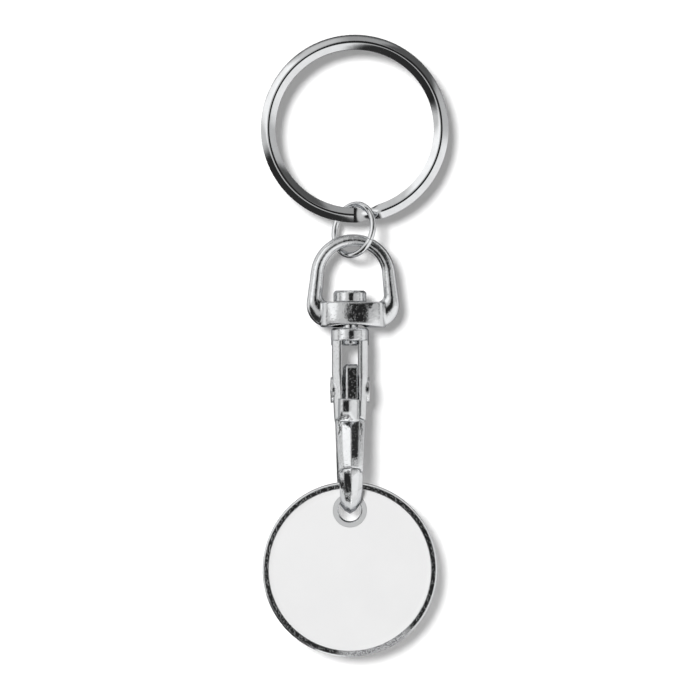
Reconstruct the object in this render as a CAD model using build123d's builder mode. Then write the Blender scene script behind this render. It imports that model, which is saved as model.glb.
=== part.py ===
from build123d import *
import math
import os

# A trolley token on a swivel trigger clasp and a split ring, hanging at rest.
# Millimetres. +Z is up, +X is to the right and the trigger faces -Y.
# The origin is the hang point, the highest point inside the split ring.

# Driving dimensions

# Split ring: one flattened wire wound in two turns
ring_outer_radius = 12.5
ring_wire_width = 1.95
ring_edge_height = 0.34
ring_face_rise = 0.5
ring_turn_gap = 0.04
ring_crown_width = 0.26
ring_jog_width = 1.4
ring_jog_start = 0.5
ring_jog_end = 18.5
ring_end_margin = 1.25
ring_jog_steps = 6

# Jump ring between the split ring and the bow
link_radius = 3.43
link_wire = 0.82
link_wire_sides = 12
link_joint_gap = 0.06
link_joint_angle = 203.0
link_sideways = -0.148
link_forward = 0.004
link_drop = 2.916
link_facing = (0.666, 0.726, -0.169)

# Swivel bow: a D of rounded wire on a bulged base
bow_drop = 0.594
bow_height = 12.42
bow_top_half_width = 4.95
bow_foot_half_width = 6.6
bow_top_flat = 0.09
bow_foot_round = 3.0
bow_top_wire = 1.64
bow_side_wire = 1.97
window_top_flat = 0.17
window_foot_round = 0.9
window_flare = 0.4
bow_depth = 1.76
bow_bevel = 0.74
base_height = 3.4
base_arch = 0.4
boss_lift = 0.5
boss_half_width = 4.1
boss_depth = 4.9
boss_shoulder_depth = 2.6
boss_flank_reach = 1.6
boss_flank_depth = 1.2

# Swivel rivet
rivet_x = -0.65
rivet_play = 0.42
rivet_head_radius = 2.19
rivet_head_height = 1.45
rivet_head_bevel = 0.3
rivet_shank_radius = 1.1
rivet_tail_radius = 1.15
rivet_tail_height = 0.7
rivet_tail_bevel = 0.2
swivel_clearance = 0.06

# Hook body
hook_turn = 2.5
collar_radius = 2.5
collar_floor = 1.65
collar_skirt = 0.65
collar_bevel = 0.25
neck_half_width = 2.33
neck_half_depth = 2.3
neck_foot_half_width = 1.98
neck_foot_half_depth = 2.95
neck_straight = 6.0
neck_bevel = 0.75
slot_width = 2.33
slot_back = 1.5
window_height = 4.2
window_slope = 0.6
press_clearance = 0.01
pivot_drop = 8.27
pivot_forward = 0.3
fork_radius = 4.37
ear_radius = 1.7
ear_half_width = 2.56
seat_drop = 14.69
bend_radius = 3.0
arm_lean = 12.0
arm_thickness = 1.8
arm_knee_drop = 0.42
arm_knee_share = 0.58
arm_sole_share = 0.25
bend_half_width = 1.22
arm_half_width = 1.6
arm_top_half_width = 2.0
arm_belly = 0.72
bend_steps = 10
tip_rise = 2.2
back_arm_rise = 9.5
lip_radius = 11.0
lip_thickness = 0.7

# Pivot pin
pin_radius = 0.5
pin_proud = 0.06
pin_end_bevel = 0.1
pin_clearance = 0.05

# Trigger lever
lever_width = 1.93
lever_rise = 3.47
lever_knuckle = 1.5
lever_tail_radius = 0.6
lever_tail_forward = 1.05
lever_root_radius = 0.6
lever_left_bevel = 0.45
lever_right_bevel = 0.12
lever_clearance = 0.12
gate_tongue = 0.3
gate_half_width = 1.96
gate_top_rise = 8.0
gate_foot_run = 1.5
gate_root_rise = 5.2
gate_root_depth = 0.7
knob_top_drop = 1.06
knob_height = 3.07
knob_reach = 6.9
knob_left = 1.75
knob_right = 0.7
knob_left_bevel = 0.3
knob_right_bevel = 0.95
knob_left_slope = 0.8
knob_right_slope = 0.95
knob_foot_rise = 1.2
knob_foot_run = 0.8
knob_bevel = 0.15
knob_back = 3.6
stem_front = 5.9
stem_back = 2.6

# Trigger spring
spring_wire = 0.25
spring_wire_sides = 6
spring_radius = 0.85
spring_pitch = 0.3
spring_turns = 1.25
spring_clearance = 0.06
spring_lever_leg = 1.6

# Token
token_radius = 11.625
token_thickness = 2.3
token_edge_bevel = 0.2
token_rim = 0.83
token_hole_radius = 1.545
token_collar_radius = 2.25
token_hole_offset = 7.89
token_countersink = 0.15
token_clearance = 0.05
inlay_thickness = 0.25
inlay_recess = 0.03
inlay_gap = 0.02

overrun = 2.0

# Heights down the chain, each from the piece above it
ring_mid_radius = ring_outer_radius - ring_wire_width / 2
ring_centre_z = ring_wire_width - ring_outer_radius
ring_foot_z = 2 * ring_centre_z
link_z = ring_foot_z - link_drop
bow_x = rivet_x + rivet_play
bow_top_z = link_z - bow_drop
bow_foot_z = bow_top_z - bow_height
base_top_z = bow_foot_z + base_height
collar_top_z = bow_foot_z - swivel_clearance
slot_top_z = collar_top_z - collar_floor
skirt_z = slot_top_z - collar_skirt
pivot_z = collar_top_z - pivot_drop
seat_z = pivot_z - seat_drop
bend_z = seat_z + bend_radius

# The clasp turns as one about the rivet, so its pieces are drawn in their own planes.
turn = math.radians(hook_turn)
clasp = Plane(origin=(rivet_x, 0, 0), x_dir=(math.cos(turn), math.sin(turn), 0), z_dir=(0, 0, 1))
clasp_side = Plane(origin=clasp.origin, x_dir=clasp.y_dir, z_dir=clasp.x_dir)
pivot = (-pivot_forward, pivot_z)


os.makedirs("parts", exist_ok=True)

# Split ring


def ring_section(angle, centre_y, width, front_rise, back_rise):
    """The flattened wire's section at an angle from the ring's lowest point."""
    a = math.radians(angle)
    outward = Vector(math.sin(a), 0, -math.cos(a))
    origin = Vector(0, 0, ring_centre_z) + outward * ring_mid_radius
    front = centre_y - ring_edge_height / 2
    back = centre_y + ring_edge_height / 2
    plane = Plane(origin=origin, x_dir=outward, z_dir=(math.cos(a), 0, math.sin(a)))
    with BuildSketch(plane, mode=Mode.PRIVATE) as section:
        with BuildLine():
            Polyline(
                (-width / 2, front),
                (-ring_crown_width / 2, front - front_rise),
                (ring_crown_width / 2, front - front_rise),
                (width / 2, front),
                (width / 2, back),
                (ring_crown_width / 2, back + back_rise),
                (-ring_crown_width / 2, back + back_rise),
                (-width / 2, back),
                close=True,
            )
        make_face()
    return section.sketch


ring_layer_y = (ring_turn_gap + ring_edge_height) / 2
ring_axis = Axis((0, 0, ring_centre_z), (0, -1, 0))
ring_turn_arc = 360 - ring_end_margin - ring_jog_end + ring_jog_start

with BuildPart() as split_ring:
    # Each turn ends bluntly, just short of where the wire crosses to the other turn.
    front_end = ring_section(ring_jog_end, -ring_layer_y, ring_wire_width, ring_face_rise, 0)
    revolve(front_end, axis=ring_axis, revolution_arc=ring_turn_arc)
    back_angle = ring_jog_end + ring_end_margin
    back_end = ring_section(back_angle, ring_layer_y, ring_wire_width, 0, ring_face_rise)
    revolve(back_end, axis=ring_axis, revolution_arc=ring_turn_arc)
    # The crossing is a little narrower, and its domed side changes from the front to the back.
    crossing = []
    for step in range(ring_jog_steps + 1):
        t = step / ring_jog_steps
        across = t * t * (3 - 2 * t)
        crossing.append(
            ring_section(
                ring_jog_end - t * (ring_jog_end - ring_jog_start),
                ring_layer_y * (2 * across - 1),
                ring_wire_width - (ring_wire_width - ring_jog_width) * math.sin(math.pi * t) ** 2,
                ring_face_rise * (1 - across),
                ring_face_rise * across,
            )
        )
    loft(crossing)
split_ring.part.label = "split_ring"

# Jump ring

link_normal = Vector(*link_facing).normalized()
link_up = (Vector(0, 0, 1) - link_normal * link_normal.Z).normalized()
link_plane = Plane(
    origin=(link_sideways, link_forward, link_z), x_dir=link_up.cross(link_normal), z_dir=link_normal
)
link_start = math.radians(link_joint_angle)
link_outward = link_plane.x_dir * math.cos(link_start) + link_plane.y_dir * math.sin(link_start)
link_gap_angle = math.degrees(link_joint_gap / link_radius)

with BuildPart() as jump_ring:
    wire_plane = Plane(
        origin=link_plane.origin + link_outward * link_radius,
        x_dir=link_outward,
        z_dir=link_normal.cross(link_outward),
    )
    with BuildSketch(wire_plane):
        RegularPolygon(link_wire / 2, link_wire_sides)
    revolve(axis=Axis(link_plane.origin, link_normal), revolution_arc=360 - link_gap_angle)
jump_ring.part.label = "jump_ring"

# Swivel bow


def bow_trapezium(top_half, foot_half, top_z, foot_z, top_flat, foot_round):
    """An upright trapezium on the bow's middle plane, its top rounded but for a short flat."""
    corner = math.pi / 2 + math.atan2(foot_half - top_half, top_z - foot_z)
    top_round = (top_half - top_flat / 2) * math.tan(corner / 2)
    with BuildSketch(Plane.XZ, mode=Mode.PRIVATE) as outline:
        with BuildLine():
            Polyline(
                (bow_x - top_half, top_z),
                (bow_x + top_half, top_z),
                (bow_x + foot_half, foot_z),
                (bow_x - foot_half, foot_z),
                close=True,
            )
        make_face()
        fillet(outline.vertices().group_by(Axis.Y)[-1], radius=top_round)
        fillet(outline.vertices().group_by(Axis.Y)[0], radius=foot_round)
    return outline.sketch


def bow_outline():
    return bow_trapezium(
        bow_top_half_width, bow_foot_half_width, bow_top_z, bow_foot_z, bow_top_flat, bow_foot_round
    )


bow_slope = (bow_foot_half_width - bow_top_half_width) / bow_height
window_top_half = bow_top_half_width + bow_slope * bow_top_wire - bow_side_wire + window_flare
window_foot_half = bow_top_half_width + bow_slope * (bow_height - base_height) - bow_side_wire
boss_end = boss_half_width + boss_flank_reach
arch_radius = (boss_half_width**2 + base_arch**2) / (2 * base_arch)

with BuildPart() as swivel_boss:
    with BuildSketch(Plane.XY.offset(bow_foot_z + boss_lift)):
        with BuildLine():
            for side in (-1, 1):
                ThreePointArc(
                    (bow_x - boss_half_width, side * boss_shoulder_depth / 2),
                    (bow_x, side * boss_depth / 2),
                    (bow_x + boss_half_width, side * boss_shoulder_depth / 2),
                )
            for end in (-1, 1):
                Polyline(
                    (bow_x + end * boss_half_width, boss_shoulder_depth / 2),
                    (bow_x + end * boss_end, boss_flank_depth / 2),
                    (bow_x + end * boss_end, -boss_flank_depth / 2),
                    (bow_x + end * boss_half_width, -boss_shoulder_depth / 2),
                )
        make_face()
    extrude(amount=base_height - boss_lift)
    extrude(bow_outline(), amount=boss_depth, both=True, mode=Mode.INTERSECT)

with BuildPart() as swivel_bow:
    extrude(bow_outline(), amount=bow_depth / 2, both=True)
    chamfer(swivel_bow.edges().group_by(Axis.Y)[0], length=bow_bevel)
    chamfer(swivel_bow.edges().group_by(Axis.Y)[-1], length=bow_bevel)
    window = bow_trapezium(
        window_top_half,
        window_foot_half,
        bow_top_z - bow_top_wire,
        base_top_z,
        window_top_flat,
        window_foot_round,
    )
    extrude(window, amount=bow_depth, both=True, mode=Mode.SUBTRACT)
    for end in (0, -1):
        rim = swivel_bow.faces().sort_by(Axis.Y)[end].inner_wires()[0].edges()
        chamfer(rim, length=bow_bevel)
    add(swivel_boss.part)
    # The rivet's hole is loose, and the underside is arched so that the collar clears it.
    with BuildSketch(Plane.XY.offset(bow_foot_z - overrun)):
        with Locations((bow_x, 0)):
            Circle(rivet_shank_radius + rivet_play + swivel_clearance)
    extrude(amount=base_height + 2 * overrun, mode=Mode.SUBTRACT)
    with BuildSketch(Plane.XZ):
        with Locations((bow_x, bow_foot_z + base_arch - arch_radius)):
            Circle(arch_radius)
    extrude(amount=boss_depth, both=True, mode=Mode.SUBTRACT)
swivel_bow.part.label = "swivel_bow"

# Swivel rivet

with BuildPart() as swivel_rivet:
    with BuildSketch(clasp.offset(base_top_z + swivel_clearance)):
        Circle(rivet_head_radius)
    extrude(amount=rivet_head_height)
    chamfer(swivel_rivet.edges().sort_by(Axis.Z)[-1], length=rivet_head_bevel)
    with BuildSketch(clasp.offset(slot_top_z - rivet_tail_height)):
        Circle(rivet_tail_radius)
    extrude(amount=rivet_tail_height)
    chamfer(swivel_rivet.edges().sort_by(Axis.Z)[0], length=rivet_tail_bevel)
    with BuildSketch(clasp.offset(slot_top_z)):
        Circle(rivet_shank_radius)
    extrude(amount=base_top_z + swivel_clearance - slot_top_z)
swivel_rivet.part.label = "swivel_rivet"

# Hook and gate arms: one ridged section that tapers as it goes round


def arm_section(place, outward_angle, half_width):
    """The arm's section: its inner side at a place in the side view, its ridge pointing outward."""
    a = math.radians(outward_angle)
    outward = clasp_side.x_dir * math.sin(a) - clasp_side.y_dir * math.cos(a)
    plane = Plane(
        origin=clasp_side.from_local_coords(Vector(place[0], place[1], 0)),
        x_dir=clasp.x_dir,
        z_dir=clasp.x_dir.cross(outward),
    )
    sole, knee = half_width * arm_sole_share, half_width * arm_knee_share
    with BuildSketch(plane, mode=Mode.PRIVATE) as section:
        with BuildLine():
            Polyline(
                (-sole, 0),
                (sole, 0),
                (half_width, arm_belly),
                (knee, arm_thickness - arm_knee_drop),
                (0, arm_thickness),
                (-knee, arm_thickness - arm_knee_drop),
                (-half_width, arm_belly),
                close=True,
            )
        make_face()
    return section.sketch


def on_bend(angle, out=0):
    """A point on the bend's inner side, at an angle from straight down, in the side view."""
    a = math.radians(angle)
    return ((bend_radius + out) * math.sin(a), bend_z - (bend_radius + out) * math.cos(a))


def along_arm(side, distance, out=0):
    """A point on a straight arm, a distance up from the end of the bend. The front is -1."""
    lean = math.radians(arm_lean)
    start = on_bend(side * (90 + arm_lean), out)
    return (start[0] - side * distance * math.sin(lean), start[1] + distance * math.cos(lean))


def fork_disc(radius):
    """A disc about the pivot in the side view."""
    with BuildSketch(clasp_side, mode=Mode.PRIVATE) as disc:
        with Locations(pivot):
            Circle(radius)
    return disc.sketch


def gate_space(front_radius, rear_radius, gap, top_z):
    """The gate's space in the side view, below a height: it reaches lower behind the hook's lip."""
    behind = arm_thickness - lip_thickness - gap
    low, high = along_arm(-1, -tip_rise, behind), along_arm(-1, 2 * tip_rise, behind)
    with BuildSketch(clasp_side, mode=Mode.PRIVATE) as region:
        with Locations(pivot):
            Circle(rear_radius)
        with BuildLine():
            Polyline(low, high, (0, high[1]), (0, low[1]), close=True)
        make_face(mode=Mode.INTERSECT)
        with Locations(pivot):
            Circle(front_radius)
        with Locations((-rear_radius, top_z - rear_radius)):
            Rectangle(2 * rear_radius, 2 * rear_radius, mode=Mode.INTERSECT)
    return region.sketch


bend_end = 90 + arm_lean

with BuildPart() as hook_body:
    # Neck, whose forked lower end is round about the pivot
    neck_foot_z = pivot_z - fork_radius
    neck_levels = (
        (slot_top_z, neck_half_width, neck_half_depth),
        (collar_top_z - neck_straight, neck_half_width, neck_half_depth),
        (neck_foot_z, neck_foot_half_width, neck_foot_half_depth),
    )
    for level, half_width, half_depth in neck_levels:
        with BuildSketch(clasp.offset(level)):
            outline = Rectangle(2 * half_width, 2 * half_depth)
            chamfer(outline.vertices(), length=neck_bevel)
    loft(ruled=True)
    with BuildSketch(clasp_side):
        with Locations((pivot[0], pivot[1] - fork_radius)):
            Rectangle(4 * fork_radius, 2 * fork_radius)
        with Locations(pivot):
            Circle(fork_radius, mode=Mode.SUBTRACT)
    extrude(amount=neck_half_width + overrun, both=True, mode=Mode.SUBTRACT)
    # Collar under the bow
    with BuildSketch(clasp.offset(skirt_z)):
        Circle(collar_radius)
    extrude(amount=collar_top_z - skirt_z)
    chamfer(hook_body.edges().group_by(Axis.Z)[-1], length=collar_bevel)
    # Ears round the pivot pin
    with BuildSketch(clasp_side):
        with Locations(pivot):
            Circle(ear_radius)
    extrude(amount=ear_half_width, both=True)
    # Hook tip, bend and back arm
    bend = []
    for step in range(bend_steps + 1):
        turn_share = 2 * step / bend_steps - 1
        widening = (arm_half_width - bend_half_width) * math.sin(turn_share * math.pi / 2) ** 2
        angle = turn_share * bend_end
        bend.append(arm_section(on_bend(angle), angle, bend_half_width + widening))
    loft(bend)
    loft([arm_section(along_arm(-1, tip_rise), -bend_end, arm_half_width), bend[0]])
    loft([bend[-1], arm_section(along_arm(1, back_arm_rise), bend_end, arm_top_half_width)])
    # Slot for the lever, open right through as a window above its tail
    with BuildSketch(clasp_side):
        with BuildLine():
            Polyline(
                (-neck_foot_half_depth - overrun, slot_top_z),
                (neck_half_depth + overrun, slot_top_z),
                (neck_half_depth + overrun, slot_top_z - window_height),
                (slot_back, slot_top_z - window_height - window_slope),
                (slot_back, neck_foot_z - overrun),
                (-neck_foot_half_depth - overrun, neck_foot_z - overrun),
                close=True,
            )
        make_face()
    extrude(amount=slot_width / 2, both=True, mode=Mode.SUBTRACT)
    # Hook tip: a lip at the ridge and a lower landing behind it, both round about the pivot
    lip_top = lip_radius + lever_clearance
    tip_cut = gate_space(lip_top, lip_top + gate_tongue, 0, neck_foot_z)
    extrude(tip_cut, amount=arm_half_width + overrun, both=True, mode=Mode.SUBTRACT)
    # Holes for the rivet and the pin
    with BuildSketch(clasp.offset(slot_top_z)):
        Circle(rivet_shank_radius + press_clearance)
    extrude(amount=collar_top_z - slot_top_z, mode=Mode.SUBTRACT)
    extrude(fork_disc(pin_radius + press_clearance), amount=ear_half_width, both=True, mode=Mode.SUBTRACT)
hook_body.part.label = "hook_body"

# Pivot pin

with BuildPart() as pivot_pin:
    extrude(fork_disc(pin_radius), amount=ear_half_width + pin_proud, both=True)
    chamfer(pivot_pin.edges().filter_by(GeomType.CIRCLE), length=pin_end_bevel)
pivot_pin.part.label = "pivot_pin"

# Trigger lever

knob_top_z = pivot_z - knob_top_drop
knob_foot_z = knob_top_z - knob_height
knob_cheek = knob_right_slope - knob_reach
pocket_radius = spring_radius + spring_wire / 2 + spring_clearance
spring_run = spring_pitch * spring_turns
spring_slope = spring_pitch / (2 * math.pi * spring_radius)
pocket_width = spring_run + spring_wire + 2 * (spring_slope * spring_lever_leg + spring_clearance)

with BuildPart() as lever_plate:
    # Plate in the slot: tail, knuckle round the pin and root inside the gate
    root = along_arm(-1, gate_root_rise, gate_root_depth)
    with BuildSketch(clasp_side):
        with Locations((pivot[0] - lever_tail_forward, pivot[1] + lever_rise - lever_tail_radius)):
            Circle(lever_tail_radius)
        with Locations(pivot):
            Circle(lever_knuckle)
        with Locations(root):
            Circle(lever_root_radius)
        make_hull()
    extrude(amount=lever_width / 2, both=True)
    sides = lever_plate.faces().sort_by(Axis((0, 0, 0), clasp.x_dir))
    chamfer(sides[0].outer_wire().edges(), length=lever_left_bevel)
    sides = lever_plate.faces().sort_by(Axis((0, 0, 0), clasp.x_dir))
    chamfer(sides[-1].outer_wire().edges(), length=lever_right_bevel)

with BuildPart() as trigger_lever:
    # Gate, as wide as the hook, and the thumb knob, whose front slopes back at its foot
    gate_foot = arm_section(along_arm(-1, -gate_foot_run), -bend_end, arm_half_width)
    gate_top = arm_section(along_arm(-1, gate_top_rise), -bend_end, gate_half_width)
    loft([gate_foot, gate_top])
    with BuildSketch(clasp.offset(knob_foot_z)):
        with BuildLine():
            Polyline(
                (-knob_left, -knob_back),
                (-knob_left, -knob_reach + knob_left_slope),
                (-knob_left + knob_left_bevel, -knob_reach),
                (knob_right - knob_right_bevel, -knob_reach),
                (knob_right, -knob_reach + knob_right_slope),
                (knob_right, -knob_back),
                close=True,
            )
        make_face()
    extrude(amount=knob_height)
    with BuildSketch(clasp_side):
        with BuildLine():
            Polyline(
                (-knob_reach, knob_foot_z + knob_foot_rise),
                (-knob_reach + knob_foot_run, knob_foot_z),
                (-knob_reach + knob_foot_run, knob_foot_z - overrun),
                (-knob_reach - overrun, knob_foot_z - overrun),
                (-knob_reach - overrun, knob_foot_z + knob_foot_rise),
                close=True,
            )
        make_face()
    extrude(amount=knob_left + overrun, both=True, mode=Mode.SUBTRACT)
    knob_edges = trigger_lever.edges()
    knob_edges = knob_edges.filter_by(lambda e: clasp.to_local_coords(e).center().Y < knob_cheek)
    chamfer(knob_edges, length=knob_bevel)
    gate_room = gate_space(lip_radius, lip_radius + gate_tongue, lever_clearance, pivot_z)
    extrude(gate_room, amount=knob_left + overrun, both=True, mode=Mode.INTERSECT)
    fork_room = fork_disc(fork_radius + lever_clearance)
    extrude(fork_room, amount=knob_left + overrun, both=True, mode=Mode.SUBTRACT)
    add(lever_plate.part)
    # Stem that carries the knob through the slot
    with BuildSketch(clasp_side):
        with Locations((-(stem_front + stem_back) / 2, knob_top_z - knob_height / 2)):
            Rectangle(stem_front - stem_back, knob_height - 2 * knob_bevel)
    extrude(amount=lever_width / 2, both=True)
    # Pin hole and the pocket that holds the spring
    extrude(fork_disc(pin_radius + pin_clearance), amount=lever_width, both=True, mode=Mode.SUBTRACT)
    with BuildSketch(clasp_side):
        with Locations(pivot):
            Circle(pocket_radius)
        with Locations((pivot[0] + pocket_radius, pivot[1])):
            Rectangle(2 * pocket_radius, 2 * pocket_radius)
        with Locations((pivot[0] - spring_radius, pivot[1] + spring_lever_leg / 2)):
            Rectangle(spring_wire + 2 * press_clearance, spring_lever_leg + 2 * spring_clearance)
    extrude(amount=pocket_width / 2, both=True, mode=Mode.SUBTRACT)
trigger_lever.part.label = "trigger_lever"

# Trigger spring, drawn on its own axis: one leg lies in the lever's pocket, the other on the neck

spring_plane = Plane(
    origin=clasp_side.from_local_coords(Vector(pivot[0], pivot[1], -spring_run / 2)),
    x_dir=-clasp_side.x_dir,
    z_dir=clasp_side.z_dir,
)
neck_leg = slot_back + pivot_forward - press_clearance
leg_start = (spring_radius, -spring_lever_leg, -spring_slope * spring_lever_leg)
leg_end = (-neck_leg, spring_radius, spring_run + spring_slope * neck_leg)

with BuildPart() as coil:
    with BuildLine():
        Line(leg_start, (spring_radius, 0, 0))
        Helix(spring_pitch, spring_run, spring_radius)
        Line((0, spring_radius, spring_run), leg_end)
    with BuildSketch(Plane(origin=leg_start, z_dir=(0, 1, spring_slope))):
        RegularPolygon(spring_wire / 2, spring_wire_sides)
    sweep()

with BuildPart() as trigger_spring:
    add(spring_plane.from_local_coords(coil.part))
trigger_spring.part.label = "trigger_spring"

# Token

land = token_thickness / 2 - token_countersink
seat_rise = bend_radius - math.sqrt(bend_radius**2 - land**2)
sole_drop = token_hole_radius - math.sqrt(token_hole_radius**2 - (bend_half_width * arm_sole_share) ** 2)
token_hole_z = seat_z + seat_rise + sole_drop + token_clearance - token_hole_radius
token_z = token_hole_z - token_hole_offset
front_y = -token_thickness / 2
recess_depth = inlay_thickness + inlay_recess


def token_face(y, facing, gap=0):
    """The area of the white fill on one face, drawn on the plane that it starts from."""
    plane = Plane(origin=(rivet_x, y, token_z), x_dir=(1, 0, 0), z_dir=(0, facing, 0))
    with BuildSketch(plane, mode=Mode.PRIVATE) as fill:
        Circle(token_radius - token_rim - gap)
        with Locations((0, -facing * token_hole_offset)):
            Circle(token_collar_radius + gap, mode=Mode.SUBTRACT)
    return fill.sketch


with BuildPart() as token_blank:
    with BuildSketch(Plane(origin=(rivet_x, 0, token_z), x_dir=(1, 0, 0), z_dir=(0, -1, 0))):
        Circle(token_radius)
        with Locations((0, token_hole_offset)):
            Circle(token_hole_radius, mode=Mode.SUBTRACT)
    extrude(amount=token_thickness / 2, both=True)
    hole_edges = token_blank.edges().filter_by(GeomType.CIRCLE).sort_by(SortBy.RADIUS)[:2]
    chamfer(hole_edges, length=token_countersink)
    outer_edges = token_blank.edges().filter_by(GeomType.CIRCLE).sort_by(SortBy.RADIUS)[-2:]
    chamfer(outer_edges, length=token_edge_bevel)
    extrude(token_face(front_y, -1), amount=-recess_depth, mode=Mode.SUBTRACT)
    extrude(token_face(-front_y, 1), amount=-recess_depth, mode=Mode.SUBTRACT)
token_blank.part.label = "token_blank"

with BuildPart() as front_inlay:
    extrude(token_face(front_y + recess_depth, -1, inlay_gap), amount=inlay_thickness)
front_inlay.part.label = "front_inlay"

with BuildPart() as back_inlay:
    extrude(token_face(-front_y - recess_depth, 1, inlay_gap), amount=inlay_thickness)
back_inlay.part.label = "back_inlay"

for piece in (
    split_ring,
    jump_ring,
    swivel_bow,
    swivel_rivet,
    hook_body,
    pivot_pin,
    trigger_lever,
    trigger_spring,
    token_blank,
    front_inlay,
    back_inlay,
):
    print(piece.part.label, piece.part.is_valid, round(piece.part.volume, 2), len(piece.part.solids()))
    export_step(piece.part, f"parts/{piece.part.label}.step")
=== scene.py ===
import bmesh
import bpy
import math
import numpy as np
from mathutils import Matrix, Vector


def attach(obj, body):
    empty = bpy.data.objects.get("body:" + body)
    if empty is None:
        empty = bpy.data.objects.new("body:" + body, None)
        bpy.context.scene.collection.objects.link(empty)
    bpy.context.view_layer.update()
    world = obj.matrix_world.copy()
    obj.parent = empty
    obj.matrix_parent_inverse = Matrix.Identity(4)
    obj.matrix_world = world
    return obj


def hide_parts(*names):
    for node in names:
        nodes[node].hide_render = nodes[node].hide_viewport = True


# Metres, in the CAD frame: +Z up, +X right, the trigger faces -Y.
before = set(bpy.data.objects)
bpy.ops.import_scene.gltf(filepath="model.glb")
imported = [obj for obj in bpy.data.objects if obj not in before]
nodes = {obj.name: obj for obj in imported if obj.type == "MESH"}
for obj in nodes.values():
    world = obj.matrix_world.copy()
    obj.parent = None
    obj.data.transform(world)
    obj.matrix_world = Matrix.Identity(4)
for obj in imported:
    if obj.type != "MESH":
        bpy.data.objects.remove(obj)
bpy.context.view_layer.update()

MM = 0.001
PICTURE_PIXELS = 700
PIXELS_PER_MM = 7.505          # of the photograph, at the object's middle plane
CENTRE_X, CENTRE_Z = -0.633 * MM, -40.03 * MM
CAMERA_DISTANCE, SENSOR_WIDTH = 0.45, 36
WALL_Y, WALL_SIZE, WALL_GAP = 5.6 * MM, 0.2, 0.5 * MM
FLOOR_Z, FLOOR_SIZE = -0.45, 0.3
PAPER_TONE, WALL_LIFT, FLOOR_LIFT = 0.93, 0.10, 0.50
WHITE = (1, 1, 1, 1)

# The token and its hole, in millimetres
TOKEN_X, TOKEN_Z, HOLE_Z = -0.65, -69.23, -61.34


# Shader helpers

class Shader:
    """A node tree with short ways to add and join its nodes."""

    def __init__(self, tree):
        self.nodes, self.links = tree.nodes, tree.links

    def add(self, kind, values=None, **settings):
        node = self.nodes.new(kind)
        for key, value in settings.items():
            setattr(node, key, value)
        for key, value in (values or {}).items():
            if isinstance(value, bpy.types.NodeSocket):
                self.links.new(value, node.inputs[key])
            else:
                node.inputs[key].default_value = value
        return node

    def place(self):
        """The point that is shaded, in the frame's own metres."""
        return self.add("ShaderNodeTexCoord").outputs["Object"]

    def math(self, operation, a, b=0.0, clamp=False):
        settings = {"operation": operation, "use_clamp": clamp}
        return self.add("ShaderNodeMath", {0: a, 1: b}, **settings).outputs[0]

    def vector(self, operation, a, b=(0, 0, 0), output="Vector"):
        node = self.add("ShaderNodeVectorMath", {0: a, 1: b}, operation=operation)
        return node.outputs[output]

    def noise(self, size, vector, detail, rough, distortion=0.0):
        """Noise whose lumps are about this many millimetres across."""
        values = {"Vector": vector, "Scale": 1 / (size * MM), "Detail": detail, "Roughness": rough,
                  "Distortion": distortion}
        return self.add("ShaderNodeTexNoise", values).outputs["Fac"]

    def step(self, value, low, high, to_low=0.0, to_high=1.0):
        values = {"Value": value, "From Min": low, "From Max": high, "To Min": to_low, "To Max": to_high}
        node = self.add("ShaderNodeMapRange", values, interpolation_type="SMOOTHSTEP")
        return node.outputs["Result"]

    def mix(self, factor, a, b):
        node = self.nodes.new("ShaderNodeMix")
        node.data_type = "RGBA"
        for socket, value in ((node.inputs[0], factor), (node.inputs[6], a), (node.inputs[7], b)):
            if isinstance(value, bpy.types.NodeSocket):
                self.links.new(value, socket)
            else:
                socket.default_value = value
        return node.outputs[2]

    def feeding(self, socket):
        """The output that is joined to an input."""
        return socket.links[0].from_socket

    def raise_bump(self, extra):
        """Adds a height, in millimetres, to the material's bump."""
        bump = next(n for n in self.nodes if n.bl_idname == "ShaderNodeBump")
        height = self.math("ADD", self.feeding(bump.inputs["Height"]), extra)
        self.links.new(height, bump.inputs["Height"])


def new_material(name):
    made = bpy.data.materials.new(name)
    made.use_nodes = True
    s = Shader(made.node_tree)
    return made, s, s.nodes["Principled BSDF"]


# Materials. Sizes and radii are in millimetres; a pair of levels is where a change starts and is full.

TONE_SIZE, TONE_LEVELS, TONE_DARK = 2.5, (0.35, 0.65), 0.93
GLOSS_SIZE, GLOSS_LEVELS, GLOSS_LOW, GLOSS_HIGH = 0.7, (0.3, 0.75), 0.7, 1.5
PIT_LEVELS = (0.54, 0.66)
CHROME_TINT = (0.4, 0.41, 0.43, 1)
EDGE_SAMPLES = 6


def chrome(name, tone, rough, ripple, ripple_size, grain, grain_size, edge=0.0):
    """Bright plating over a rippled, slightly pitted metal; edge is how wide its edges are rounded."""
    made, s, face = new_material(name)
    place = s.place()
    cloud = s.noise(TONE_SIZE, place, 4, 0.6)
    dark = [c * TONE_DARK for c in tone] + [1]
    s.links.new(s.mix(s.step(cloud, *TONE_LEVELS), dark, [*tone, 1]), face.inputs["Base Color"])
    smear = s.noise(GLOSS_SIZE, place, 5, 0.65)
    gloss = s.step(smear, *GLOSS_LEVELS, rough * GLOSS_LOW, rough * GLOSS_HIGH)
    s.links.new(gloss, face.inputs["Roughness"])
    face.inputs["Metallic"].default_value = 1.0
    face.inputs["Specular Tint"].default_value = CHROME_TINT
    wave = s.noise(ripple_size, place, 2, 0.5)
    pits = s.step(s.noise(grain_size, place, 2, 0.5), *PIT_LEVELS)
    height = s.math("ADD", s.math("MULTIPLY", wave, ripple), s.math("MULTIPLY", pits, grain))
    bump = s.add("ShaderNodeBump", {"Height": height, "Strength": 1.0, "Distance": MM})
    if edge:
        soft = s.add("ShaderNodeBevel", {"Radius": edge * MM}, samples=EDGE_SAMPLES)
        s.links.new(soft.outputs["Normal"], bump.inputs["Normal"])
    s.links.new(bump.outputs["Normal"], face.inputs["Normal"])
    return made


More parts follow.
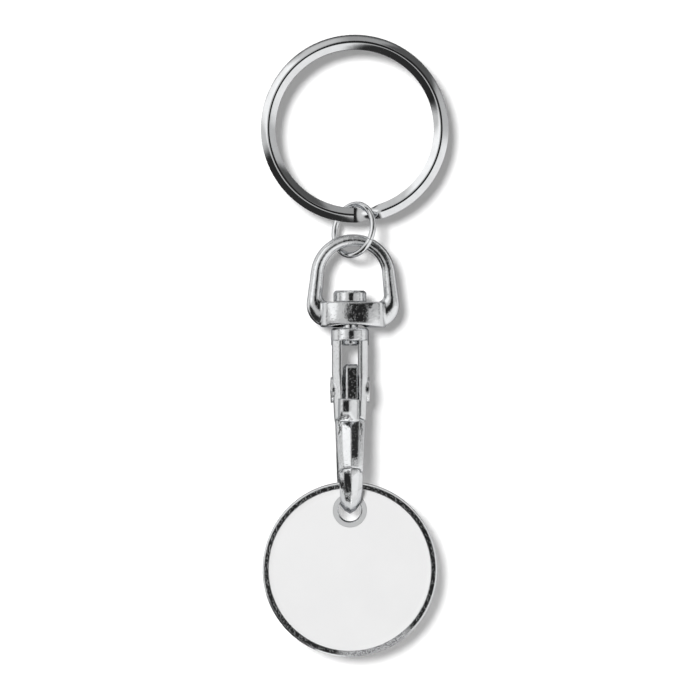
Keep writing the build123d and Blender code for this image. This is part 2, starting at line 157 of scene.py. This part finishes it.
wire_chrome = chrome(
    "wire_chrome", (0.83, 0.84, 0.85), rough=0.06, ripple=0.008, ripple_size=2.2,
    grain=0.0006, grain_size=0.30)
cast_chrome = chrome(
    "cast_chrome", (0.84, 0.85, 0.86), rough=0.06, ripple=0.030, ripple_size=1.1,
    grain=0.0060, grain_size=0.32, edge=0.35)
pin_chrome = chrome(
    "pin_chrome", (0.82, 0.83, 0.84), rough=0.08, ripple=0.015, ripple_size=0.8,
    grain=0.0050, grain_size=0.30, edge=0.2)
token_chrome = chrome(
    "token_chrome", (0.82, 0.83, 0.84), rough=0.07, ripple=0.010, ripple_size=1.6,
    grain=0.0060, grain_size=0.30, edge=0.12)
spring_steel = chrome(
    "spring_steel", (0.55, 0.56, 0.58), rough=0.22, ripple=0.002, ripple_size=0.5,
    grain=0.001, grain_size=0.1)


def from_axis(s, place, x, z):
    """Distance in millimetres from a line that runs along Y."""
    across = s.vector("MULTIPLY", place, (1, 0, 1))
    metres = s.vector("DISTANCE", across, (x * MM, 0, z * MM), "Value")
    return s.math("MULTIPLY", metres, 1 / MM)


COLLAR_START, COLLAR_END = (1.60, 1.72), (2.32, 2.36)
COLLAR_TONE, COLLAR_ROUGH, COLLAR_METAL = (0.52, 0.525, 0.53, 1), (0.5, 0.5, 0.5, 1), 0.15


def matt_collar(made):
    """The satin ring round the token's hole."""
    s = Shader(made.node_tree)
    face = s.nodes["Principled BSDF"]
    out = from_axis(s, s.place(), TOKEN_X, HOLE_Z)
    mask = s.math("MULTIPLY", s.step(out, *COLLAR_START), s.step(out, *COLLAR_END, 1.0, 0.0))
    for name, level in (("Base Color", COLLAR_TONE), ("Roughness", COLLAR_ROUGH)):
        s.links.new(s.mix(mask, s.feeding(face.inputs[name]), level), face.inputs[name])
    s.links.new(s.step(mask, 0, 1, 1.0, COLLAR_METAL), face.inputs["Metallic"])


WORN_WAY, WORN_COSINES, WORN_RADII = (0.34, 0, -0.94), (0.85, 0.98), (10.7, 10.8)
SCRATCH_SIZE, SCRATCH_DEPTH = 0.16, 0.10
SATIN_LEVELS, SATIN_LOW, SATIN_HIGH = (0.35, 0.55), 0.08, 0.42
GRIME_LEVELS, GRIME_HIGH, GRIME_LOW, GRIME_TONE = (0.42, 0.56), 0.85, 0.1, (0.10, 0.10, 0.11, 1)


def worn_rim(made):
    """Scratches and grime on the lower right of the token's rim."""
    s = Shader(made.node_tree)
    face = s.nodes["Principled BSDF"]
    place = s.place()
    arm = s.vector("SUBTRACT", place, (TOKEN_X * MM, 0, TOKEN_Z * MM))
    near = s.vector("DOT_PRODUCT", s.vector("NORMALIZE", arm), WORN_WAY, "Value")
    rim = s.step(from_axis(s, place, TOKEN_X, TOKEN_Z), *WORN_RADII)
    mask = s.math("MULTIPLY", s.step(near, *WORN_COSINES), rim)
    scratch = s.noise(SCRATCH_SIZE, place, 4, 0.7, 0.6)
    s.raise_bump(s.math("MULTIPLY", s.math("MULTIPLY", scratch, mask), SCRATCH_DEPTH))
    metal, tone = s.feeding(face.inputs["Metallic"]), s.feeding(face.inputs["Base Color"])
    satin = s.math("MULTIPLY", mask, s.step(scratch, *SATIN_LEVELS, SATIN_LOW, SATIN_HIGH))
    s.links.new(s.math("SUBTRACT", metal, satin), face.inputs["Metallic"])
    grime = s.math("MULTIPLY", mask, s.step(scratch, *GRIME_LEVELS, GRIME_HIGH, GRIME_LOW))
    s.links.new(s.mix(grime, tone, GRIME_TONE), face.inputs["Base Color"])


BEND_FOOT, BEND_TOP, BEND_RISE = -60, -53.5, 1.05
LEAN_LEFT, LEAN_RIGHT, LEAN_RISE = -1.2, 1.8, 0.3
LEAN_FULL_Z, LEAN_END_Z = -49, -45
KNOB_SLOPE, KNOB_FRONT, KNOB_BACK = 0.2, 6.4, 6.8       # a slanting plane that parts knob and gate


def swept_bend(made):
    """Leans the light on the hook, with no change of shape: on its bend and on the gate's right."""
    s = Shader(made.node_tree)
    x, y, z = s.add("ShaderNodeSeparateXYZ", {0: s.place()}).outputs
    s.raise_bump(s.step(z, BEND_FOOT * MM, BEND_TOP * MM, 0, BEND_RISE))
    past = s.math("SUBTRACT", y, s.math("MULTIPLY", z, KNOB_SLOPE))
    behind_knob = s.step(past, KNOB_FRONT * MM, KNOB_BACK * MM)
    right = s.step(x, LEAN_LEFT * MM, LEAN_RIGHT * MM, 0, LEAN_RISE)
    lean = s.math("MULTIPLY", right, s.step(z, LEAN_FULL_Z * MM, LEAN_END_Z * MM, 1, 0))
    s.raise_bump(s.math("MULTIPLY", lean, behind_knob))


matt_collar(token_chrome)
worn_rim(token_chrome)
swept_bend(cast_chrome)

SWELL_SIZE, SWELL_LEVELS, SWELL_HEIGHT = 6, (0.3, 0.7), 0.02
FILL_DARK, FILL_LIGHT = (0.785, 0.785, 0.787, 1), (0.80, 0.80, 0.801, 1)
SPECK_SIZE, SPECK_LEVELS, SPECK_TONE = 0.12, (0.70, 0.80), (0.72, 0.72, 0.73, 1)
FILL_GLOSS_SIZE, FILL_GLOSS, FILL_GLOSS_HEIGHT = 1.5, (0.28, 0.42), 0.002
FILL_SPECULAR = 0.4
LIP_RADII, LIP_HEIGHT = (10.15, 10.95), 0.09


def enamel(name):
    """White filling of the token's faces: glossy, with a faint swell, specks and a lip at its rim."""
    made, s, face = new_material(name)
    place = s.place()
    cloud = s.noise(SWELL_SIZE, place, 3, 0.5)
    tone = s.mix(s.step(cloud, *SWELL_LEVELS), FILL_DARK, FILL_LIGHT)
    speck = s.noise(SPECK_SIZE, place, 2, 0.5)
    s.links.new(s.mix(s.step(speck, *SPECK_LEVELS), tone, SPECK_TONE), face.inputs["Base Color"])
    smear = s.noise(FILL_GLOSS_SIZE, place, 4, 0.6)
    s.links.new(s.step(smear, *GLOSS_LEVELS, *FILL_GLOSS), face.inputs["Roughness"])
    face.inputs["Specular IOR Level"].default_value = FILL_SPECULAR
    swell = s.math("MULTIPLY", cloud, SWELL_HEIGHT)
    height = s.math("ADD", swell, s.math("MULTIPLY", smear, FILL_GLOSS_HEIGHT))
    lip = s.step(from_axis(s, place, TOKEN_X, TOKEN_Z), *LIP_RADII, 0.0, LIP_HEIGHT)
    height = s.math("ADD", height, lip)
    bump = s.add("ShaderNodeBump", {"Height": height, "Strength": 1.0, "Distance": MM})
    s.links.new(bump.outputs["Normal"], face.inputs["Normal"])
    return made


white_fill = enamel("white_fill")


# The CAD pieces that stay, in their finishes

FINISHES = {
    "hook_body": cast_chrome,
    "trigger_lever": cast_chrome,
    "swivel_rivet": pin_chrome,
    "pivot_pin": pin_chrome,
    "front_inlay": white_fill,
    "back_inlay": white_fill,
    "token_blank": token_chrome,
    "trigger_spring": spring_steel,
}
for node, made in FINISHES.items():
    nodes[node].data.materials.clear()
    nodes[node].data.materials.append(made)


# Smooth forms for the wires and the bow, from the CAD's own dimensions in millimetres

CREASE, BOW_CREASE = 38, 50        # degrees past which an edge stays sharp


def skin(loops, closed):
    """A closed shell through loops of points: a ring of them, or a bar with flat ends."""
    shell = bmesh.new()
    rows = [[shell.verts.new(p) for p in loop] for loop in loops]
    pairs = list(zip(rows, rows[1:]))
    if closed:
        pairs.append((rows[-1], rows[0]))
    for a, b in pairs:
        for j in range(len(a)):
            k = (j + 1) % len(a)
            shell.faces.new((a[j], a[k], b[k], b[j]))
    if not closed:
        shell.faces.new(rows[0][::-1])
        shell.faces.new(rows[-1])
    bmesh.ops.recalc_face_normals(shell, faces=shell.faces)
    return shell


def smooth_piece(name, node, shells, made, body, crease=CREASE):
    """The shells as one object that takes a CAD node's place."""
    whole = bmesh.new()
    for shell in shells:
        part = bpy.data.meshes.new("part")
        shell.to_mesh(part)
        shell.free()
        whole.from_mesh(part)
        bpy.data.meshes.remove(part)
    mesh = bpy.data.meshes.new(name)
    whole.to_mesh(mesh)
    whole.free()
    mesh.transform(Matrix.Scale(MM, 4))
    for polygon in mesh.polygons:
        polygon.use_smooth = True
    mesh.set_sharp_from_angle(angle=math.radians(crease))
    mesh.materials.append(made)
    piece = bpy.data.objects.new(name, mesh)
    bpy.context.scene.collection.objects.link(piece)
    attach(piece, body)
    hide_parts(node)


# Split ring: a crowned wire whose front turn crosses to the back turn at the foot. Angles are in
# degrees from the foot, and each turn runs into the one that follows.
RING_RADIUS, RING_WIRE, RING_JOG_WIRE = 11.525, 1.95, 1.4
RING_Z = -10.55
RING_EDGE, RING_RISE, RING_LAYER = 0.34, 0.5, 0.19
FRONT_TURN, BACK_TURN, TURN_LOOPS = (359.25, 18.5), (360.5, 19.75), 138
JOG_START, JOG_SWEEP, JOG_LOOPS = 18.5, 18, 26
CROWN_FLAT, CROWN_SLOPE, CROWN_CURVE = 0.16, 0.84, 1.15
CROWN_HALF = (CROWN_FLAT, 0.19, 0.24, 0.32, 0.45, 0.6, 0.75, 0.9, 1.0)
CROWN = [-t for t in reversed(CROWN_HALF)] + list(CROWN_HALF)


def crown(t):
    """Height of the wire's crowned face across it: a narrow flat, then two faces that steepen."""
    return 1 - max(0.0, (abs(t) - CROWN_FLAT) / CROWN_SLOPE) ** CROWN_CURVE


def ring_loop(angle, y, width, front_rise, back_rise):
    a = math.radians(angle)
    outward = Vector((math.sin(a), 0, -math.cos(a)))
    centre = Vector((0, y, RING_Z)) + outward * RING_RADIUS
    front = [(t, -RING_EDGE / 2 - front_rise * crown(t)) for t in CROWN]
    back = [(-t, RING_EDGE / 2 + back_rise * crown(t)) for t in CROWN]
    return [centre + outward * (t * width / 2) + Vector((0, d, 0)) for t, d in front + back]


ring_loops = []
for angle in np.linspace(*FRONT_TURN, TURN_LOOPS):
    ring_loops.append(ring_loop(angle, -RING_LAYER, RING_WIRE, RING_RISE, 0))
for t in np.linspace(0, 1, JOG_LOOPS)[1:-1]:
    over = t * t * (3 - 2 * t)
    width = RING_WIRE - (RING_WIRE - RING_JOG_WIRE) * math.sin(math.pi * t) ** 2
    rises = RING_RISE * (1 - over), RING_RISE * over
    jog_y = RING_LAYER * (2 * over - 1)
    ring_loops.append(ring_loop(JOG_START - JOG_SWEEP * t, jog_y, width, *rises))
for angle in np.linspace(*BACK_TURN, TURN_LOOPS):
    ring_loops.append(ring_loop(angle, RING_LAYER, RING_WIRE, 0, RING_RISE))
ring_shells = [skin(ring_loops, False)]
smooth_piece("split_ring_wire", "split_ring", ring_shells, wire_chrome, "split_ring")

# Jump ring: round wire, its ends a hair apart
LINK_CENTRE, LINK_RADIUS, LINK_WIRE = Vector((-0.148, 0.004, -24.016)), 3.43, 0.82
LINK_START, LINK_GAP, LINK_LOOPS, LINK_SIDE = 203.0, 1.0, 110, 18
link_normal = Vector((0.666, 0.726, -0.169)).normalized()
link_up = (Vector((0, 0, 1)) - link_normal * link_normal.z).normalized()
link_x = link_up.cross(link_normal)
link_y = link_normal.cross(link_x)
link_loops = []
for angle in np.radians(np.linspace(LINK_START, LINK_START + 360 - LINK_GAP, LINK_LOOPS)):
    outward = link_x * math.cos(angle) + link_y * math.sin(angle)
    loop = []
    for a in np.radians(np.arange(0, 360, LINK_SIDE)):
        reach = LINK_RADIUS + LINK_WIRE / 2 * math.cos(a)
        side = link_normal * (LINK_WIRE / 2 * math.sin(a))
        loop.append(LINK_CENTRE + outward * reach + side)
    link_loops.append(loop)
link_shells = [skin(link_loops, False)]
smooth_piece("jump_ring_wire", "jump_ring", link_shells, wire_chrome, "jump_ring")

# Swivel bow: a D of round wire whose feet run into a bulged boss
BOW_X, BOW_TOP, BOW_FOOT, BASE_TOP = -0.23, -24.61, -37.03, -33.63
BOW_DEPTH, BOW_TOP_WIRE = 1.76, 1.64
BOW_HALVES, BOW_ROUNDS = (4.95, 6.6), (5.6, 5.6, 3.0, 3.0)             # top and foot
WINDOW_HALVES, WINDOW_ROUNDS = (3.598, 4.178), (3.8, 3.8, 0.9, 0.9)
BOW_EYE = Vector((BOW_X, -31.5))                                       # the window's middle
BOW_START, BOW_END, BOW_LOOPS, BOW_SIDE = -51.4, 231.4, 150, 12
CORNER_POINTS, SIDE_POINTS = 24, 8
BOSS_DEPTH, BOSS_REACH, BOSS_SQUARE, BOSS_SIDE = 4.9, 4.35, 2.6, 4
BOSS_ARCH, BOSS_ARCH_HALF = 0.4, 4.4
BOSS_EDGE, BOSS_EDGE_TURNS = 0.22, np.radians((22.5, 45, 67.5))
HOLE_RADIUS = 1.58


def rounded(corners, rounds):
    """A closed outline with arcs at its corners, as points."""
    points = []
    for i, corner in enumerate(corners):
        u = (corners[i - 1] - corner).normalized()
        v = (corners[(i + 1) % len(corners)] - corner).normalized()
        half = u.angle(v) / 2
        centre = corner + (u + v).normalized() * (rounds[i] / math.sin(half))
        run = rounds[i] / math.tan(half)
        a, b = corner + u * run - centre, corner + v * run - centre
        for t in np.linspace(0, 1, CORNER_POINTS):
            points.append(centre + (a * (1 - t) + b * t).normalized() * rounds[i])
    return points


def outline_reach(corners, rounds, angles):
    """How far an outline is from the middle of the bow's window, in each direction."""
    points = []
    outline = rounded(corners, rounds)
    for p, q in zip(outline, outline[1:] + outline[:1]):
        points += [p.lerp(q, t) for t in np.linspace(0, 1, SIDE_POINTS, endpoint=False)]
    rays = [p - BOW_EYE for p in points]
    turned = [math.atan2(r.y, r.x) % (2 * math.pi) for r in rays]
    order = np.argsort(turned)
    lengths = np.array([r.length for r in rays])[order]
    return np.interp(angles, np.array(turned)[order], lengths, period=2 * math.pi)


def trapezium(top_half, foot_half, top, foot):
    corners = (-top_half, top), (top_half, top), (foot_half, foot), (-foot_half, foot)
    return [Vector((BOW_X + x, z)) for x, z in corners]


bow_angles = np.radians(np.linspace(BOW_START, BOW_END, BOW_LOOPS))
outer = outline_reach(trapezium(*BOW_HALVES, BOW_TOP, BOW_FOOT), BOW_ROUNDS, bow_angles)
window = trapezium(*WINDOW_HALVES, BOW_TOP - BOW_TOP_WIRE, BASE_TOP)
inner = outline_reach(window, WINDOW_ROUNDS, bow_angles)
bow_loops = []
for angle, far, near in zip(bow_angles, outer, inner):
    loop = []
    for a in np.radians(np.arange(0, 360, BOW_SIDE)):
        reach = (far + near) / 2 + (far - near) / 2 * math.cos(a)
        x, z = BOW_EYE.x + reach * math.cos(angle), BOW_EYE.y + reach * math.sin(angle)
        loop.append(Vector((x, BOW_DEPTH / 2 * math.sin(a), z)))
    bow_loops.append(loop)

boss_loops = []
for a in np.radians(np.arange(0, 360, BOSS_SIDE)):
    x = BOSS_REACH * math.copysign(abs(math.cos(a)) ** (2 / BOSS_SQUARE), math.cos(a))
    y = BOSS_DEPTH / 2 * math.sin(a)
    foot = BOW_FOOT + BOSS_ARCH * max(0.0, 1 - (x / BOSS_ARCH_HALF) ** 2)
    radius = math.hypot(x, y)
    inset = 1 - BOSS_EDGE / radius
    hole = Vector((x, y)).normalized() * HOLE_RADIUS
    profile = [(hole.x, hole.y, foot), (hole.x, hole.y, BASE_TOP), (x * inset, y * inset, BASE_TOP)]
    for t in BOSS_EDGE_TURNS:
        out, down = 1 - BOSS_EDGE * (1 - math.sin(t)) / radius, BOSS_EDGE * (1 - math.cos(t))
        profile.append((x * out, y * out, BASE_TOP - down))
    profile.append((x, y, BASE_TOP - BOSS_EDGE))
    profile.append((x, y, foot + BOSS_EDGE))
    for t in BOSS_EDGE_TURNS:
        out, up = 1 - BOSS_EDGE * (1 - math.cos(t)) / radius, BOSS_EDGE * (1 - math.sin(t))
        profile.append((x * out, y * out, foot + up))
    profile.append((x * inset, y * inset, foot))
    boss_loops.append([Vector((BOW_X + px, py, pz)) for px, py, pz in profile])
bow_shells = [skin(bow_loops, False), skin(boss_loops, True)]
smooth_piece("swivel_bow_casting", "swivel_bow", bow_shells, cast_chrome, "swivel_bow",
             BOW_CREASE)


# Stage

FIBRE_SCALE, FIBRE_LEVELS, FIBRE_DARK = 900, (0.3, 0.7), 0.99


def plane(name, size, matrix):
    mesh = bpy.data.meshes.new(name)
    h = size / 2
    mesh.from_pydata([(-h, -h, 0), (h, -h, 0), (h, h, 0), (-h, h, 0)], [], [(0, 1, 2, 3)])
    made = bpy.data.objects.new(name, mesh)
    made.matrix_world = matrix
    bpy.context.scene.collection.objects.link(made)
    return made


def paper(name, tone, lift):
    """Pale backdrop paper, clear from behind; seen or mirrored it glows by the lift."""
    made = bpy.data.materials.new(name)
    made.use_nodes = True
    s = Shader(made.node_tree)
    s.nodes.clear()
    noise = {"Vector": s.place(), "Scale": FIBRE_SCALE, "Detail": 4, "Roughness": 0.6}
    fibre = s.step(s.add("ShaderNodeTexNoise", noise).outputs["Fac"], *FIBRE_LEVELS)
    dark = tone * FIBRE_DARK
    colour = s.mix(fibre, (dark, dark, dark, 1), (tone, tone, tone, 1))
    diffuse = s.add("ShaderNodeBsdfDiffuse", {"Color": colour}).outputs[0]
    path = s.add("ShaderNodeLightPath").outputs
    mirrored = s.math("ADD", path["Is Glossy Ray"], path["Is Transmission Ray"])
    seen = s.math("ADD", path["Is Camera Ray"], mirrored, True)
    glow = {"Color": WHITE, "Strength": s.math("MULTIPLY", seen, lift)}
    glow = s.add("ShaderNodeEmission", glow).outputs[0]
    front = s.add("ShaderNodeAddShader", {0: diffuse, 1: glow}).outputs[0]
    clear = s.add("ShaderNodeBsdfTransparent").outputs[0]
    back = s.add("ShaderNodeNewGeometry").outputs["Backfacing"]
    both = s.add("ShaderNodeMixShader", {0: back, 1: front, 2: clear}).outputs[0]
    s.add("ShaderNodeOutputMaterial", {"Surface": both})
    return made


def stand_behind(board, names):
    """Keeps a backdrop behind the object: it moves back as far as a piece swings past it."""
    group = bpy.data.node_groups.new("stand_behind", "GeometryNodeTree")
    for way in ("INPUT", "OUTPUT"):
        group.interface.new_socket("Geometry", in_out=way, socket_type="NodeSocketGeometry")
    s = Shader(group)
    pieces = s.add("GeometryNodeJoinGeometry")
    for name in names:
        swung = {"Object": bpy.data.objects[name]}
        piece = s.add("GeometryNodeObjectInfo", swung, transform_space="RELATIVE")
        s.links.new(piece.outputs["Geometry"], pieces.inputs["Geometry"])
    box = s.add("GeometryNodeBoundBox", {"Geometry": pieces.outputs["Geometry"]})
    nearest = s.add("ShaderNodeSeparateXYZ", {0: box.outputs["Min"]}).outputs["Z"]
    back = s.math("MINIMUM", s.math("SUBTRACT", nearest, WALL_GAP), 0.0)
    offset = s.add("ShaderNodeCombineXYZ", {"Z": back}).outputs[0]
    board_in = s.add("NodeGroupInput").outputs["Geometry"]
    moved = s.add("GeometryNodeSetPosition", {"Geometry": board_in, "Offset": offset})
    s.add("NodeGroupOutput", {"Geometry": moved.outputs["Geometry"]})
    board.modifiers.new("stand_behind", "NODES").node_group = group


upright = Matrix.Rotation(math.pi / 2, 4, "X")
wall = plane("backdrop", WALL_SIZE, Matrix.Translation((CENTRE_X, WALL_Y, CENTRE_Z)) @ upright)
wall.data.materials.append(paper("backdrop_paper", PAPER_TONE, WALL_LIFT))
wall.visible_glossy = wall.visible_shadow = False
farthest = ("split_ring_wire", "swivel_bow_casting", "hook_body", "trigger_lever", "token_blank")
stand_behind(wall, farthest)
floor = plane("floor", FLOOR_SIZE, Matrix.Translation((0, 0, FLOOR_Z)))
floor.data.materials.append(paper("floor_paper", PAPER_TONE, FLOOR_LIFT))


# Light

def softbox(name, place, size, power):
    """A round lamp that faces the object and that nothing mirrors."""
    data = bpy.data.lights.new(name, "AREA")
    data.shape, data.size, data.energy = "DISK", size, power
    made = bpy.data.objects.new(name, data)
    made.location = place
    aim = Vector((CENTRE_X, 0, CENTRE_Z)) - made.location
    made.rotation_mode = "QUATERNION"
    made.rotation_quaternion = aim.to_track_quat("-Z", "Y")
    made.visible_glossy = False
    bpy.context.scene.collection.objects.link(made)


softbox("key_lamp", (-0.17, -0.86, 0.10), size=0.2, power=7.1)
softbox("back_lamp", (0.25, 0.86, 0.15), size=0.3, power=3.6)

world = bpy.data.worlds.new("studio")
bpy.context.scene.world = world
world.use_nodes = True
s = Shader(world.node_tree)
s.nodes.clear()
direction = s.add("ShaderNodeTexCoord").outputs["Generated"]


def toward(x, y, z, low, high):
    """1 in the directions near (x, y, z), 0 away from it, between two cosines."""
    axis = Vector((x, y, z)).normalized()
    return s.step(s.vector("DOT_PRODUCT", direction, axis, "Value"), low, high)


STEEP_LEVELS, STEEP_WIDTH = (0.3, 0.5), 0.19       # how far the horizon widens above and below


def horizon(far_low, far_high, near_low, near_high):
    """1 in a band of directions nearly square to the camera's, wider above and below."""
    parts = s.add("ShaderNodeSeparateXYZ", {0: direction}).outputs
    wider = s.step(s.math("ABSOLUTE", parts["Z"]), *STEEP_LEVELS, 0.0, STEEP_WIDTH)
    ahead = s.math("MULTIPLY", parts["Y"], -1)
    far = s.step(s.math("ADD", ahead, wider), far_low, far_high)
    return s.math("MULTIPLY", far, s.step(ahead, near_low, near_high, 1.0, 0.0))


def beside(low, full_low, full_high, high):
    """1 in the directions beside the object, between four depths along Y."""
    depth = s.add("ShaderNodeSeparateXYZ", {0: direction}).outputs["Y"]
    return s.math("MULTIPLY", s.step(depth, low, full_low), s.step(depth, full_high, high, 1.0, 0.0))


# What the chrome mirrors: each grey is laid over those before it. Nothing else sees them.
STUDIO_GREY = 0.55
STUDIO_LAYERS = (
    (0.36, toward, (0, -0.2, 1, 0.35, 0.75)),             # ceiling
    (0.64, toward, (-1, -0.3, 0.35, 0.42, 0.60)),         # left wall
    (1.12, toward, (-0.68, -0.7, 0.2, 0.93, 0.985)),      # lamps on the left
    (1.12, toward, (-0.76, -0.5, 0.42, 0.90, 0.97)),
    (0.07, horizon, (0.21, 0.25, 0.27, 0.33)),            # dark line round the object
    (0.95, toward, (0.66, -0.3, -0.75, 0.62, 0.80)),      # bright card, lower right
    (0.025, toward, (-0.72, -0.5, -0.72, 0.80, 0.90)),    # black cards, lower left
    (0.03, toward, (-0.42, -0.2, -0.88, 0.78, 0.92)),
    (0.10, toward, (0.55, -0.5, 0.67, 0.93, 0.97)),       # dark cards, upper right
    (0.03, toward, (0.5, -0.8, 0.36, 0.955, 0.98)),
    (0.02, toward, (0.16, -1, 0, 0.94, 0.98)),            # the camera's dark side
    (0.02, toward, (0.12, -0.96, 0.27, 0.975, 0.99)),
    (0.82, beside, (-0.17, -0.12, 0.25, 0.45)),           # light round the sides
    (0.03, toward, (0.2, 1, 0.1, 0.93, 0.98)),            # dark cards behind the object
    (0.03, toward, (-0.72, 0.5, -0.72, 0.80, 0.90)),
    (0.08, toward, (0.6, 0.6, 0.5, 0.93, 0.97)),
)
FILL_STRENGTH, SHOWN_STRENGTH = 0.225, 1.0

studio = STUDIO_GREY
for level, shape, values in STUDIO_LAYERS:
    blend = {0: shape(*values), 2: studio, 3: level}
    studio = s.add("ShaderNodeMix", blend, data_type="FLOAT").outputs[0]


def background(strength):
    return s.add("ShaderNodeBackground", {"Color": WHITE, "Strength": strength}).outputs[0]


path = s.add("ShaderNodeLightPath").outputs
plain, shown, mirrored = (background(v) for v in (FILL_STRENGTH, SHOWN_STRENGTH, studio))
glossy = s.add("ShaderNodeMixShader", {0: path["Is Glossy Ray"], 1: plain, 2: mirrored}).outputs[0]
through = s.math("ADD", path["Is Camera Ray"], path["Is Transmission Ray"], True)
final = s.add("ShaderNodeMixShader", {0: through, 1: glossy, 2: shown}).outputs[0]
s.add("ShaderNodeOutputWorld", {"Surface": final})


# Camera

camera = bpy.data.cameras.new("camera")
camera.sensor_width = SENSOR_WIDTH
camera.lens = SENSOR_WIDTH * CAMERA_DISTANCE / (PICTURE_PIXELS / PIXELS_PER_MM * MM)
camera.clip_start, camera.clip_end = 0.01, 10
viewer = bpy.data.objects.new("camera", camera)
viewer.location = (CENTRE_X, -CAMERA_DISTANCE, CENTRE_Z)
viewer.rotation_euler = (math.pi / 2, 0, 0)
bpy.context.scene.collection.objects.link(viewer)
bpy.context.scene.camera = viewer
bpy.context.scene.view_settings.view_transform = "Standard"
